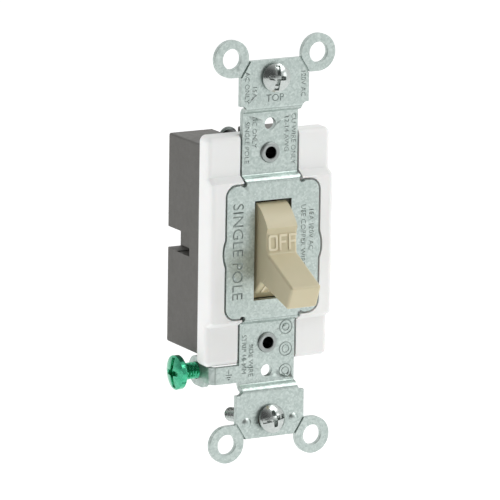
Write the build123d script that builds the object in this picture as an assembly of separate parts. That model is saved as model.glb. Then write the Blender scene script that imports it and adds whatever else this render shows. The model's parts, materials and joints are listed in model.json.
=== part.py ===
"""Toggle wall switch: steel mounting strap, white cover, dark rear body and the works inside.

Millimetres. X runs to the right as the switch is seen from the room, Y into the wall and Z up.
The origin is the middle of the strap, on the plane of its front face, where a wall plate seats.
The toggle is drawn in its OFF position, with the lever down.
"""
from build123d import *
from math import asin, cos, degrees, hypot, radians, sin
import os

# Mounting strap
strap_thickness = 1.3
neck_setback = 2.1            # the necks lie this far behind the centre and end plates
bend_radius = 1.05            # at the middle of the sheet
bend_run = 0.5                # height over which a joggle steps back
centre_half_width = 12.45
centre_half_height = 16.1
centre_corner_radius = 2.6
bulge_half_chord = 3.2
bulge_height = 0.65
neck_half_width = 7.5
centre_bend_height = 17.25
end_half_width = 9.2
end_plate_margin = 6.45       # from a box screw's centre to the end plate's inner edge
end_bend_margin = 1.35        # from the inner edge of an end plate to the middle of its joggle
ear_root = 0.85               # how far the ears' centres lie beyond the end plate's outer edge
end_notch_radius = 1.2
neck_relief_radius = 0.8
ear_spacing_x = 23.4
ear_spacing_z = 93.7
ear_radius = 4.55
ear_hole_radius = 2.5
score_width = 0.5
score_depth = 0.5
score_top_half = 6.8          # half-distance between the score lines at the outer edge
score_side_drop = 3.85        # how far down the side of the end plate a score line ends
opening_width = 9.95
opening_height = 24.2
box_screw_spacing = 83.3
box_slot_width = 6.4
box_slot_height = 4.5
plate_screw_spacing = 60.3
plate_screw_hole_radius = 1.5
dimple_radius = 1.3
dimple_height = 0.6
dimple_half_spacing = 6.4
dimple_drop = 0.45            # below the box screws

# Ground tab and its screw
tab_below_cover = 0.25
tab_height = 4.15
tab_bend_outer = 1.9
flange_inset = 1.15           # of the flange's outer face from the side of the body
flange_radius = 3.6
ground_axis_y = 9.8
ground_axis_drop = 1.95       # below the tab's upper edge
flange_front_edge = 5.4
flange_corner_radius = 1.4
ground_shank_radius = 2.05
ground_head_radius = 4.15
ground_head_height = 2.2
ground_head_rim = 1.3
ground_wire_gap = 4.4
ground_tip_beyond = 1.8

# Front cover
cover_side_overhang = 0.4     # of the cover beyond the body
cover_end_overhang = 2.4
cover_step_low = 18.3         # the step between the middle and the ends of the cover
cover_step_high = 17.0
cover_edge_radius = 1.4
cover_corner_radius = 1.5
channel_gap = 0.5
seat_gap = 0.05
slot_extra = 0.1
cover_wall = 2.0
peg_radius = 1.2
peg_length = 1.5
peg_side_margin = 4.8         # of the pegs from the body's side and end
peg_end_margin = 3.0
peg_wall = 0.6

# Rear body
split_y = 6.3                 # plane where the cover meets the body; the toggle's axis lies on it
body_half_width = 16.3
body_half_height = 25.6
body_back = 22.7
body_floor = 1.8
body_edge_radius = 0.5
chamber_left = -4.7
chamber_side_margin = 5.7
chamber_end_margin = 6.4
rivet_margin = 2.4            # of the rivets from the body's ends
end_channel_left = -4.8
end_channel_right = 2.6
end_channel_depth = 1.4
grip_notch_depth_x = 3.6
grip_notch_depth_y = 5.3
grip_notch_low = -2.4
grip_notch_high = 2.8
grip_recess_depth = 0.9
grip_recess_length = 5.8
release_slot_depth = 3.2
release_slot_height = 1.5
left_pocket_wall = 1.7
left_pocket_right = -7.6
left_pocket_low = 4.6
left_pocket_margin = 2.6
peg_boss_wall = 1.2
peg_hole_extra_depth = 0.3
bridge_depth = 2.6            # of the rib behind the right-hand trunnion
bridge_half_height = 2.6

# Toggle
lever_angle = 21.5            # the lever lies this far below level when OFF, and above it when ON
dome_radius = 12.63
dome_end_angle = 87.0
dome_face_angle = 51.0
toggle_half_width = 4.05
face_top_reach = 8.0
face_top_height = 8.95
face_root_reach = 10.33
face_root_height = 4.07
tip_reach = 23.6
tip_half_height = 2.97
lever_edge_radius = 0.65
trunnion_radius = 1.3
trunnion_reach = 6.8
running_gap = 0.05
hub_radius = 3.0
tail_half_width = 3.0
tail_half_height = 2.9
tail_reach = 6.0
cam_radius = 0.8
cam_distance = 5.7
cam_angle = -29.0             # of the cam rod, from the middle line of the tail
cam_reach_x = 8.0
letter_height = 3.8
letter_stroke = 0.55
letter_relief = 0.25
letter_gap = 0.42
letter_o_radius = 0.7
letter_o_inner_radius = 0.3
letter_f_arm_short = 0.3      # by which the middle arm of the F is shorter
letter_f_arm_lift = 0.1
letter_n_slant = 1.25         # width of the N's slanting stroke, in strokes
round_letter_width = 2.5
bar_letter_width = 2.15
swing_gap = 0.35

# Detent
plunger_radius = 1.2
plunger_bore_gap = 0.05
plunger_bore_bottom = -3.5
plunger_foot = 2.5
plunger_tip = 9.2
track_gap = 0.3
track_thickness = 0.8
track_half_angle = 36.0
track_half_width = 3.2
hump_height = 0.2
hump_radius = 1.0
toggle_spring_radius = 1.0
toggle_spring_wire = 0.3
toggle_spring_turns = 7
bumper_front = 10.3
bumper_back = 13.2
bumper_half_width = 2.2
bumper_gap = 0.25
bumper_outer = 7.3
post_thickness = 1.9

# Contacts and terminals
arm_left = 4.9
arm_right = 8.3
arm_front = 12.95
arm_thickness = 0.8
arm_pivot_z = -15.5
arm_top = 14.3
arm_pin_radius = 0.7
arm_knuckle_radius = 1.35
contact_z = 12.5
contact_radius = 1.7
moving_contact_height = 0.9
contact_dome_height = 0.4
fixed_contact_height = 0.85
arm_swing = 6.14              # degrees that the arm turns to close
closed_gap = 0.1
contact_spring_z = 2.0
contact_spring_radius = 2.0
contact_spring_wire = 0.45
contact_spring_turns = 6
spring_post_radius = 1.4
spring_post_height = 2.0
terminal_inset = 4.7          # of a terminal's inner face from the side of the body
terminal_thickness = 1.2
terminal_spacing = 24.0
terminal_half_height = 4.5
terminal_front = 9.5
terminal_rear = 18.5
terminal_axis_y = 14.0
terminal_fit = 0.1
terminal_strip = 1.0
clevis_gap = 0.1
clevis_wall = 0.6
lug_half_depth = 1.6
knuckle_gap = 0.3
line_strip_half_height = 1.6
blade_margin = 0.9            # of the load terminal's blade round its contact
clamp_half_size = 3.8
clamp_thickness = 1.0
wire_gap = 2.2
terminal_screw_radius = 2.0
terminal_head_radius = 3.6
terminal_head_height = 2.0
terminal_tip_beyond = 0.8
terminal_tip_gap = 0.3        # round the tip of a terminal screw, in the body
recess_half_height = 6.0
recess_front = 8.6
recess_rear = 19.4
wire_hole_radius = 1.3
wire_hole_offset = 3.2
barrier_left = 4.35
barrier_thickness = 0.4
barrier_low = 9.0

# Rivets
rivet_radius = 1.9
rivet_bore_radius = 1.5
rivet_hole_gap = 0.1
rivet_head_radius = 2.5
rivet_head_height = 0.6
rivet_head_rounding = 0.7     # as a share of the head's height

# Box-mounting screws and their fibre washers
box_screw_radius = 1.75
box_screw_length = 21.2
box_head_radius = 3.4
box_head_height = 2.0
head_rim = 0.6
drive_width = 0.85
drive_length = 4.4
drive_depth = 1.1
tip_chamfer = 0.3             # of a screw's tip, as a share of its radius
lower_droop = 10.0
upper_droop = 5.0
upper_lean = 11.0
washer_radius = 3.8
washer_thickness = 1.1
washer_bore_gap = 0.05
washer_clearance = 0.15

# Modelling allowances
beyond = 1.0                  # how far a cut runs past the face it starts from
sink = 0.5                    # how far a piece runs into the one it is fused with
skim = 0.2                    # how far a cut runs into one it must open into

# Sizes that follow from the ones above
strap_rear = strap_thickness
neck_rear = neck_setback + strap_thickness
box_screw_z = box_screw_spacing / 2
end_inner_edge = box_screw_z - end_plate_margin
end_outer_edge = ear_spacing_z / 2 - ear_root
end_bend_height = end_inner_edge - end_bend_margin
cover_half_width = body_half_width + cover_side_overhang
cover_half_height = body_half_height + cover_end_overhang
rivet_z = body_half_height - rivet_margin
peg_x = body_half_width - peg_side_margin
peg_z = body_half_height - peg_end_margin
chamber_right = body_half_width - chamber_side_margin
chamber_half_height = body_half_height - chamber_end_margin
left_pocket_left = left_pocket_wall - body_half_width
left_pocket_high = body_half_height - left_pocket_margin
tab_top = cover_half_height + tab_below_cover
tab_bottom = tab_top + tab_height
flange_face = body_half_width - flange_inset
ground_axis_z = -tab_top - ground_axis_drop
terminal_inner = body_half_width - terminal_inset
floor_y = body_back - body_floor
terminal_outer = terminal_inner + terminal_thickness
terminal_z = terminal_spacing / 2
arm_back = arm_front + arm_thickness
arm_mid_y = arm_front + arm_thickness / 2
contact_x = (arm_left + arm_right) / 2
contact_reach = contact_z - arm_pivot_z
closed_travel = contact_reach * sin(radians(arm_swing))
fixed_face = arm_front - moving_contact_height - closed_travel - closed_gap
load_blade_front = fixed_face - fixed_contact_height - terminal_strip
track_radius = plunger_tip + track_gap
recess_floor = terminal_outer

side_plane = Plane(origin=(0, 0, 0), x_dir=(0, 0, 1), z_dir=(-1, 0, 0))   # drawn as (z, y)
front_plane = Plane.XZ                                                    # drawn as (x, z)


def block(x, y, z):
    """A box given by its low and high limits along each axis."""
    size = (x[1] - x[0], y[1] - y[0], z[1] - z[0])
    middle = ((x[0] + x[1]) / 2, (y[0] + y[1]) / 2, (z[0] + z[1]) / 2)
    return Pos(*middle) * Box(*size)


def rod_y(x, z, radius, y):
    """A round bar along Y between two limits."""
    return Pos(x, (y[0] + y[1]) / 2, z) * Rot(90, 0, 0) * Cylinder(radius, y[1] - y[0])


def rod_x(y, z, radius, x):
    """A round bar along X between two limits."""
    return Pos((x[0] + x[1]) / 2, y, z) * Rot(0, 90, 0) * Cylinder(radius, x[1] - x[0])


def both_ends(make):
    """The same feature at the upper and the lower end, added together."""
    return make(1) + make(-1)


def through_y(sketch, front, rear):
    """A sketch drawn as (x, z), made solid between two depths."""
    return Pos(0, rear, 0) * extrude(front_plane * sketch, amount=rear - front)


# ---------------------------------------------------------------- mounting strap

def strap_side():
    """The strip seen from the side: plates forward, necks set back, one joggle at each change."""
    plate = strap_thickness / 2
    neck = neck_setback + plate
    half = bend_run / 2
    end = ear_spacing_z / 2 + ear_radius + beyond
    upper = [
        (centre_bend_height - half, plate),
        (centre_bend_height + half, neck),
        (end_bend_height - half, neck),
        (end_bend_height + half, plate),
        (end, plate),
    ]
    lower = [(-z, y) for z, y in reversed(upper)]
    path = FilletPolyline(*lower, *upper, radius=bend_radius)
    return trace(path, line_width=strap_thickness)


def ear_outline(side, end):
    """A plaster ear: a round lobe, squared off towards the end plate."""
    x = side * ear_spacing_x / 2
    z = end * ear_spacing_z / 2
    lobe = Pos(x, z) * Circle(ear_radius)
    web = Pos(x - side * ear_radius / 2, z - end * ear_radius / 2) * Rectangle(ear_radius, ear_radius)
    return lobe + web


def end_outline(end):
    """One end plate with its two ears and the rounded corners where it narrows to the neck."""
    height = end_outer_edge - end_inner_edge
    plate = Pos(0, end * (end_inner_edge + height / 2)) * Rectangle(2 * end_half_width, height)
    corner = Rectangle(2 * (neck_half_width + end_notch_radius), end_notch_radius)
    corner = Pos(0, end * (end_inner_edge - end_notch_radius / 2)) * corner
    for side in (-1, 1):
        centre = (side * (neck_half_width + end_notch_radius), end * (end_inner_edge - end_notch_radius))
        corner -= Pos(*centre) * Circle(end_notch_radius)
        plate += ear_outline(side, end)
    return plate + corner


def centre_outline(gap=0.0):
    """The centre plate with its side bulges, grown all round by a gap."""
    plate = RectangleRounded(
        2 * (centre_half_width + gap), 2 * (centre_half_height + gap), centre_corner_radius + gap
    )
    bulge_radius = (bulge_half_chord**2 + bulge_height**2) / (2 * bulge_height)
    bulge_centre = centre_half_width + bulge_height - bulge_radius
    for side in (-1, 1):
        plate += Pos(side * bulge_centre, 0) * Circle(bulge_radius + gap)
    return plate


def strap_outline():
    """The strip seen from the front, before its holes are punched."""
    outline = centre_outline()
    outline += Rectangle(2 * neck_half_width, 2 * end_inner_edge)
    for end in (-1, 1):
        outline += end_outline(end)
        for side in (-1, 1):
            relief = Circle(neck_relief_radius)
            outline -= Pos(side * (neck_half_width + neck_relief_radius / 2),
                           end * (centre_half_height + neck_relief_radius / 2)) * relief
    return outline


def strap_holes():
    """Everything punched through the strap."""
    holes = Rectangle(opening_width, opening_height)
    for end in (-1, 1):
        holes += Pos(0, end * rivet_z) * Circle(rivet_radius + rivet_hole_gap)
        holes += Pos(0, end * plate_screw_spacing / 2) * Circle(plate_screw_hole_radius)
        holes += Pos(0, end * box_screw_z) * SlotOverall(box_slot_width, box_slot_height)
        for side in (-1, 1):
            holes += Pos(side * ear_spacing_x / 2, end * ear_spacing_z / 2) * Circle(ear_hole_radius)
    return through_y(holes, -beyond, neck_rear + beyond)


def score_line(side, end):
    """A groove across the corner of an end plate, where the ear can be snapped off."""
    top = (side * score_top_half, end * end_outer_edge)
    bottom = (side * end_half_width, end * (end_outer_edge - score_side_drop))
    line = Line(top, bottom)
    return through_y(trace(line, line_width=score_width), -beyond, score_depth)


def dimple(side):
    """A small raised dome on the lower end plate."""
    sphere_radius = (dimple_radius**2 + dimple_height**2) / (2 * dimple_height)
    centre = (side * dimple_half_spacing, sphere_radius - dimple_height, -box_screw_z - dimple_drop)
    ball = Pos(*centre) * Sphere(sphere_radius)
    front = block((-end_half_width, end_half_width), (-beyond, skim), (-end_outer_edge, -end_inner_edge))
    return ball & front


def ground_tab():
    """The tab that leaves the lower neck and turns back beside the body, with its tapped hole."""
    inner = tab_bend_outer - strap_thickness
    bend_x = flange_face - tab_bend_outer
    root = neck_half_width - beyond
    tab = block((-bend_x, -root), (neck_setback, neck_rear), (-tab_bottom, -tab_top))
    bend_centre_y = neck_setback + tab_bend_outer
    ring = Circle(tab_bend_outer) - Circle(inner)
    ring &= Pos(-tab_bend_outer / 2, -tab_bend_outer / 2) * Rectangle(tab_bend_outer, tab_bend_outer)
    bend = extrude(Pos(-bend_x, bend_centre_y) * ring, amount=tab_bottom - tab_top)
    tab += Pos(0, 0, -tab_bottom) * bend
    flange = Pos(ground_axis_y, ground_axis_z) * Circle(flange_radius)
    band = Rectangle(ground_axis_y - bend_centre_y, tab_bottom - tab_top)
    flange += Pos((ground_axis_y + bend_centre_y) / 2, -(tab_bottom + tab_top) / 2) * band
    lobe_length = ground_axis_y - flange_front_edge
    lobe = Rectangle(lobe_length, flange_radius)
    lobe = fillet(lobe.vertices().sort_by(Axis.Y)[0:2].sort_by(Axis.X)[0], flange_corner_radius)
    flange += Pos(ground_axis_y - lobe_length / 2, ground_axis_z - flange_radius / 2) * lobe
    flange -= Pos(ground_axis_y, ground_axis_z) * Circle(ground_shank_radius + running_gap)
    flange_plane = Plane(origin=(-flange_face, 0, 0), x_dir=(0, 1, 0), z_dir=(1, 0, 0))
    return tab + extrude(flange_plane * flange, amount=strap_thickness)


def mounting_strap():
    """The bent, punched strap with its ground tab in one piece."""
    strip = extrude(side_plane * strap_side(), amount=2 * centre_half_width, both=True)
    outline = Pos(0, 2 * neck_rear, 0) * extrude(front_plane * strap_outline(), amount=4 * neck_rear)
    strap = (strip & outline) - strap_holes()
    for side in (-1, 1):
        strap -= score_line(side, 1)
        strap -= score_line(side, -1)
        strap += dimple(side)
    return strap + ground_tab()


# ---------------------------------------------------------------- front cover

def cover_blank():
    """The cover before its cuts: a raised middle, lower ends and rounded edges."""
    points = [
        (-cover_half_height, split_y),
        (-cover_half_height, neck_setback),
        (-cover_step_low, neck_setback),
        (-cover_step_high, 0),
        (cover_step_high, 0),
        (cover_step_low, neck_setback),
        (cover_half_height, neck_setback),
        (cover_half_height, split_y),
    ]
    side = make_face(Polyline(*points, close=True))
    blank = extrude(side_plane * side, amount=cover_half_width, both=True)
    outline = RectangleRounded(2 * cover_half_width, 2 * cover_half_height, cover_corner_radius)
    blank &= through_y(outline, -beyond, split_y)
    side_limit = cover_half_width - cover_corner_radius - seat_gap
    end_limit = cover_half_height - cover_corner_radius - seat_gap
    front_edges = [
        edge for edge in blank.edges()
        if edge.center().Y < split_y - seat_gap and edge not in blank.edges().filter_by(Axis.Y)
        and (abs(edge.center().X) > side_limit or abs(edge.center().Z) > end_limit)
    ]
    return fillet(front_edges, cover_edge_radius)


def strap_channel():
    """The channel that the strap lies in, a little wider than the strap."""
    middle = through_y(centre_outline(channel_gap), -beyond, strap_rear + seat_gap)
    width = 2 * (neck_half_width + channel_gap)
    length = cover_half_height + beyond - centre_half_height
    for end in (-1, 1):
        neck = Pos(0, end * (centre_half_height + length / 2)) * Rectangle(width, length)
        middle += through_y(neck, -beyond, neck_rear + seat_gap)
    return middle


def cover_pockets():
    """Pockets moulded into the rear of the cover, which leave an even wall."""
    pockets = []
    outer = cover_half_width - cover_wall
    inner = trunnion_reach + cover_wall
    span = centre_half_height - cover_wall
    end_low = cover_step_low + cover_wall / 2
    for side in (-1, 1):
        x = sorted((side * (centre_half_width + beyond), side * outer))
        pockets.append(block(x, (cover_wall, split_y + beyond), (-span, span)))
        x = sorted((side * inner, side * (centre_half_width + skim)))
        y = (strap_rear + cover_wall, split_y + beyond)
        pockets.append(block(x, y, (bridge_half_height, span)))
        pockets.append(block(x, y, (-span, -bridge_half_height)))
        for end in (-1, 1):
            x = sorted((side * (peg_x + peg_radius + peg_wall), side * outer))
            z = sorted((end * end_low, end * (cover_half_height - cover_wall)))
            pockets.append(block(x, (neck_setback + cover_wall, split_y + beyond), z))
    return pockets


def bearing_cut(radius):
    """The round seat of both trunnions."""
    return rod_x(split_y, 0, radius, (-trunnion_reach - running_gap, trunnion_reach + running_gap))


def front_cover():
    """The white cover, with its channel, toggle slot, bearing halves, rivet holes and pegs."""
    cover = cover_blank() - strap_channel()
    slot = Rectangle(opening_width + 2 * slot_extra, opening_height + 2 * slot_extra)
    cover -= through_y(slot, -beyond, split_y + beyond)
    reach = toggle_half_width + swing_gap
    cover -= rod_x(split_y, 0, dome_radius + swing_gap, (-reach, reach))
    cover -= bearing_cut(trunnion_radius + running_gap)
    for end in (-1, 1):
        cover -= rod_y(0, end * rivet_z, rivet_radius + rivet_hole_gap, (-beyond, split_y + beyond))
    for pocket in cover_pockets():
        cover -= pocket
    for side in (-1, 1):
        for end in (-1, 1):
            cover += rod_y(side * peg_x, end * peg_z, peg_radius, (split_y - sink, split_y + peg_length))
    return cover


# ---------------------------------------------------------------- rear body

def body_blank():
    """The outer shape of the rear body, with eased edges."""
    x = (-body_half_width, body_half_width)
    blank = block(x, (split_y, body_back), (-body_half_height, body_half_height))
    eased = [edge for edge in blank.edges() if edge.center().Y > split_y + seat_gap]
    return fillet(eased, body_edge_radius)


def grip_cuts():
    """The notch, shallow recess and release slot half way up the left side."""
    left = -body_half_width - beyond
    notch_front = body_back - grip_notch_depth_y
    recess_front_y = notch_front - grip_recess_length
    notch_z = (grip_notch_low, grip_notch_high)
    notch_x = (left, -body_half_width + grip_notch_depth_x)
    notch = block(notch_x, (notch_front, body_back + beyond), notch_z)
    recess = block((left, -body_half_width + grip_recess_depth), (recess_front_y, body_back), notch_z)
    slot_z = (grip_notch_low - skim, grip_notch_low + release_slot_height)
    slot_x = (left, -body_half_width + release_slot_depth)
    slot = block(slot_x, (recess_front_y, notch_front + skim), slot_z)
    return notch + recess + slot


def end_channels():
    """The open channel in the top and bottom of the body."""
    x = (end_channel_left, end_channel_right)
    y = (split_y - beyond, body_back + beyond)
    low = body_half_height - end_channel_depth
    return both_ends(lambda end: block(x, y, sorted((end * low, end * (body_half_height + beyond)))))


def terminal_recess(end):
    """The side recess over one terminal, with the slot that its plate drops into."""
    z = end * terminal_z
    recess = block(
        (recess_floor, body_half_width + beyond), (recess_front, recess_rear),
        (z - recess_half_height, z + recess_half_height),
    )
    plate_half = terminal_half_height + terminal_fit
    plate = block(
        (terminal_inner - terminal_fit, terminal_outer + skim),
        (split_y - beyond, terminal_rear + terminal_fit), (z - plate_half, z + plate_half),
    )
    relief_x = (chamber_right - skim, terminal_inner)
    relief = rod_x(terminal_axis_y, z, terminal_screw_radius + terminal_tip_gap, relief_x)
    holes = both_ends(lambda side: rod_y(
        terminal_outer + wire_gap / 2, z + side * wire_hole_offset, wire_hole_radius,
        (recess_rear - skim, body_back + beyond),
    ))
    return recess + plate + relief + holes


def strip_slots():
    """Slots in the chamber's right wall for the inner ends of the two terminals."""
    x = (chamber_right - skim, terminal_outer)
    load_half = contact_radius + blade_margin + terminal_fit
    load = block(x, (split_y - beyond, load_blade_front + terminal_strip + terminal_fit),
                 (contact_z - load_half, contact_z + load_half))
    line = block(x, (split_y - beyond, line_strip_rear() + terminal_fit),
                 (arm_pivot_z - line_strip_half_height - terminal_fit,
                  arm_pivot_z + line_strip_half_height + terminal_fit))
    return load + line


def line_strip_rear():
    """Rear face of the line terminal's inner strip, behind the arm's knuckle."""
    return arm_mid_y + arm_knuckle_radius + knuckle_gap + terminal_strip


def inner_works():
    """What stands on the floor of the chamber: detent seat, bumper posts, spring post, bridge."""
    into_floor = floor_y + sink
    seat_half = track_radius * sin(radians(track_half_angle)) + track_thickness
    seat_front = split_y + track_radius * cos(radians(track_half_angle))
    seat = block((-track_half_width, track_half_width), (seat_front, into_floor), (-seat_half, seat_half))
    reach = track_half_width + beyond
    seat -= rod_x(split_y, 0, track_radius + track_thickness, (-reach, reach))
    parts = seat
    for end in (-1, 1):
        z = sorted((end * bumper_outer, end * (bumper_outer + post_thickness)))
        parts += block((-bumper_half_width, bumper_half_width), (bumper_front, into_floor), z)
    post = (floor_y - spring_post_height, into_floor)
    parts += rod_y(contact_x, contact_spring_z, spring_post_radius, post)
    left = opening_width / 2 + slot_extra
    parts += block((left, chamber_right + sink), (split_y, split_y + bridge_depth),
                   (-bridge_half_height, bridge_half_height))
    return parts


def rear_housing():
    """The dark rear body that carries the works."""
    body = body_blank()
    body -= block((chamber_left, chamber_right), (split_y - beyond, floor_y),
                  (-chamber_half_height, chamber_half_height))
    for end in (-1, 1):
        z = sorted((end * left_pocket_low, end * left_pocket_high))
        pocket = block((left_pocket_left, left_pocket_right), (split_y - beyond, floor_y), z)
        boss = (split_y - beyond, floor_y + beyond)
        pocket -= rod_y(-peg_x, end * peg_z, peg_radius + peg_boss_wall, boss)
        body -= pocket
    body += inner_works()
    body -= bearing_cut(trunnion_radius + running_gap)
    body -= grip_cuts()
    body -= end_channels()
    for end in (-1, 1):
        body -= terminal_recess(end)
        through = (split_y - beyond, body_back + beyond)
        body -= rod_y(0, end * rivet_z, rivet_radius + rivet_hole_gap, through)
        for side in (-1, 1):
            depth = (split_y - beyond, split_y + peg_length + peg_hole_extra_depth)
            body -= rod_y(side * peg_x, end * peg_z, peg_radius + terminal_fit, depth)
    return body - strip_slots()


# ---------------------------------------------------------------- toggle

def letter_o():
    """Letter O, drawn round its own middle."""
    outer = RectangleRounded(round_letter_width, letter_height, letter_o_radius)
    width = round_letter_width - 2 * letter_stroke
    return outer - RectangleRounded(width, letter_height - 2 * letter_stroke, letter_o_inner_radius)


def letter_f():
    """Letter F, drawn round its own middle."""
    half_w = bar_letter_width / 2
    half_h = letter_height / 2
    letter = Pos(-half_w + letter_stroke / 2, 0) * Rectangle(letter_stroke, letter_height)
    letter += Pos(0, half_h - letter_stroke / 2) * Rectangle(bar_letter_width, letter_stroke)
    middle = bar_letter_width - letter_f_arm_short
    letter += Pos(-half_w + middle / 2, letter_f_arm_lift) * Rectangle(middle, letter_stroke)
    return letter


def letter_n():
    """Letter N, drawn round its own middle."""
    half_w = bar_letter_width / 2
    half_h = letter_height / 2
    width = letter_n_slant * letter_stroke
    letter = Pos(-half_w + letter_stroke / 2, 0) * Rectangle(letter_stroke, letter_height)
    letter += Pos(half_w - letter_stroke / 2, 0) * Rectangle(letter_stroke, letter_height)
    slant = Polygon((-half_w, half_h), (-half_w + width, half_h), (half_w, -half_h),
                    (half_w - width, -half_h), align=None)
    return letter + slant


def word(letters):
    """Letters side by side, centred as a whole; each is a pair of a sketch and its width."""
    total = sum(width for _, width in letters) + letter_gap * (len(letters) - 1)
    left = -total / 2
    sketch = Sketch()
    for letter, width in letters:
        sketch += Pos(left + width / 2, 0) * letter
        left += width + letter_gap
    return sketch


def flat_plane(side):
    """The flat below the dome on one side of the lever, with its lettering upright in use."""
    height = (face_top_height + face_root_height) / 2
    reach = (face_top_reach + face_root_reach) / 2
    slope = Vector(0, face_root_reach - face_top_reach, side * (face_top_height - face_root_height))
    up = slope.normalized() if side > 0 else slope.normalized() * -1
    return Plane(origin=(0, -reach, side * height), x_dir=(1, 0, 0), z_dir=Vector(1, 0, 0).cross(up))


def toggle_profile():
    """Side view with the lever level: half-round dome, flats for the lettering, tapered lever."""
    def on_dome(angle, side):
        return (side * dome_radius * sin(radians(angle)), -dome_radius * cos(radians(angle)))

    middle_angle = (dome_end_angle + dome_face_angle) / 2
    edges = []
    for side in (1, -1):
        end, face = on_dome(dome_end_angle, side), on_dome(dome_face_angle, side)
        flat_top = (side * face_top_height, -face_top_reach)
        root = (side * face_root_height, -face_root_reach)
        tip = (side * tip_half_height, -tip_reach)
        edges.append(ThreePointArc(end, on_dome(middle_angle, side), face))
        edges.append(Polyline(face, flat_top, root, tip))
    tips = [(tip_half_height, -tip_reach), (-tip_half_height, -tip_reach)]
    ends = [on_dome(dome_end_angle, 1), on_dome(dome_end_angle, -1)]
    edges.append(Line(*tips))
    edges.append(Line(*ends))
    return make_face(Wire.combine([edge for part in edges for edge in part.edges()])[0].edges())


def level_toggle():
    """The toggle with its lever level and its axis through the origin."""
    body = extrude(side_plane * toggle_profile(), amount=toggle_half_width, both=True)
    lever_edges = [
        edge for edge in body.edges()
        if edge.center().Y < -face_top_reach - lever_edge_radius
    ]
    body = fillet(lever_edges, lever_edge_radius)
    body += rod_x(0, 0, hub_radius, (-toggle_half_width, toggle_half_width))
    tail_x = (-tail_half_width, tail_half_width)
    body += block(tail_x, (0, tail_reach), (-tail_half_height, tail_half_height))
    body += rod_x(0, 0, trunnion_radius, (-trunnion_reach, trunnion_reach))
    cam_y = cam_distance * cos(radians(cam_angle))
    cam_z = cam_distance * sin(radians(cam_angle))
    body += rod_x(cam_y, cam_z, cam_radius, (tail_half_width - sink, cam_reach_x))
    body -= rod_y(0, 0, plunger_radius + plunger_bore_gap, (plunger_bore_bottom, tail_reach + beyond))
    o_and_width = (letter_o(), round_letter_width)
    f_and_width = (letter_f(), bar_letter_width)
    off = word([o_and_width, f_and_width, f_and_width])
    on = word([o_and_width, (letter_n(), bar_letter_width)])
    body += extrude(flat_plane(1) * off, amount=letter_relief)
    body += extrude(flat_plane(-1) * on, amount=letter_relief)
    return body


def swung(shape):
    """Carries a shape drawn round the toggle's axis to its place, lever down."""
    return Pos(0, split_y, 0) * Rot(lever_angle, 0, 0) * shape


def level_plunger():
    """A round-nosed plunger that slides in the toggle's tail."""
    nose = plunger_tip - plunger_radius
    stem = rod_y(0, 0, plunger_radius, (plunger_foot, nose))
    return stem + Pos(0, nose, 0) * Sphere(plunger_radius)


def coil(radius, wire, length, turns):
    """An open coil spring along Y, starting at the origin."""
    height = length - 2 * wire
    path = Helix(pitch=height / turns, height=height, radius=radius)
    section = Plane(origin=path @ 0, z_dir=path % 0) * Circle(wire / 2)
    spring = sweep(section, path=path)
    return Pos(0, wire, 0) * Rot(-90, 0, 0) * spring


def level_toggle_spring():
    """The spring between the bottom of the bore and the plunger."""
    length = plunger_foot - plunger_bore_bottom
    middle_radius = toggle_spring_radius - toggle_spring_wire / 2
    spring = coil(middle_radius, toggle_spring_wire, length, toggle_spring_turns)
    return Pos(0, plunger_bore_bottom, 0) * spring


def detent_track():
    """A curved steel strip that the plunger runs over, with a low hump in the middle."""
    x = (-track_half_width, track_half_width)
    ring = rod_x(split_y, 0, track_radius + track_thickness, x)
    ring -= rod_x(split_y, 0, track_radius, (-2 * track_half_width, 2 * track_half_width))
    reach = track_radius * sin(radians(track_half_angle))
    ring &= block(x, (split_y, floor_y), (-reach, reach))
    ring += rod_x(split_y + track_radius - hump_height + hump_radius, 0, hump_radius, x) & block(
        x, (split_y, split_y + track_radius + track_thickness / 2), (-hump_radius, hump_radius))
    return ring


def tail_corner_height():
    """How far the tail's end corner stands from the middle when the lever is at its stop."""
    angle = radians(lever_angle)
    return tail_reach * sin(angle) + tail_half_height * cos(angle)


def toggle_bumpers():
    """Two rubber pads that the tail lands on."""
    inner = tail_corner_height() + bumper_gap
    x = (-bumper_half_width, bumper_half_width)
    return [
        block(x, (bumper_front, bumper_back), sorted((end * inner, end * bumper_outer)))
        for end in (1, -1)
    ]


# ---------------------------------------------------------------- contacts and terminals

def contact_arm():
    """The brass arm, hinged at its foot, that carries the moving contact."""
    x = (arm_left, arm_right)
    arm = block(x, (arm_front, arm_back), (arm_pivot_z, arm_top))
    arm += rod_x(arm_mid_y, arm_pivot_z, arm_knuckle_radius, x)
    across = (arm_left - beyond, arm_right + beyond)
    return arm - rod_x(arm_mid_y, arm_pivot_z, arm_pin_radius + running_gap, across)


def moving_contact():
    """A round contact with a domed face on the front of the arm."""
    sphere_radius = (contact_radius**2 + contact_dome_height**2) / (2 * contact_dome_height)
    tip = arm_front - moving_contact_height
    button = rod_y(contact_x, contact_z, contact_radius, (tip, arm_front))
    return button & (Pos(contact_x, tip + sphere_radius, contact_z) * Sphere(sphere_radius))


def fixed_contact():
    """The flat contact on the load terminal."""
    return rod_y(contact_x, contact_z, contact_radius, (fixed_face - fixed_contact_height, fixed_face))


def contact_spring():
    """The spring behind the arm, which closes the contacts."""
    spring = coil(contact_spring_radius, contact_spring_wire, floor_y - arm_back, contact_spring_turns)
    return Pos(contact_x, arm_back, contact_spring_z) * spring


def terminal_plate(end, front):
    """The upright plate of a terminal, with its tapped hole."""
    z = end * terminal_z
    plate = block((terminal_inner, terminal_outer), (front, terminal_rear),
                  (z - terminal_half_height, z + terminal_half_height))
    across = (terminal_inner - beyond, terminal_outer + beyond)
    return plate - rod_x(terminal_axis_y, z, terminal_screw_radius + running_gap, across)


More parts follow.
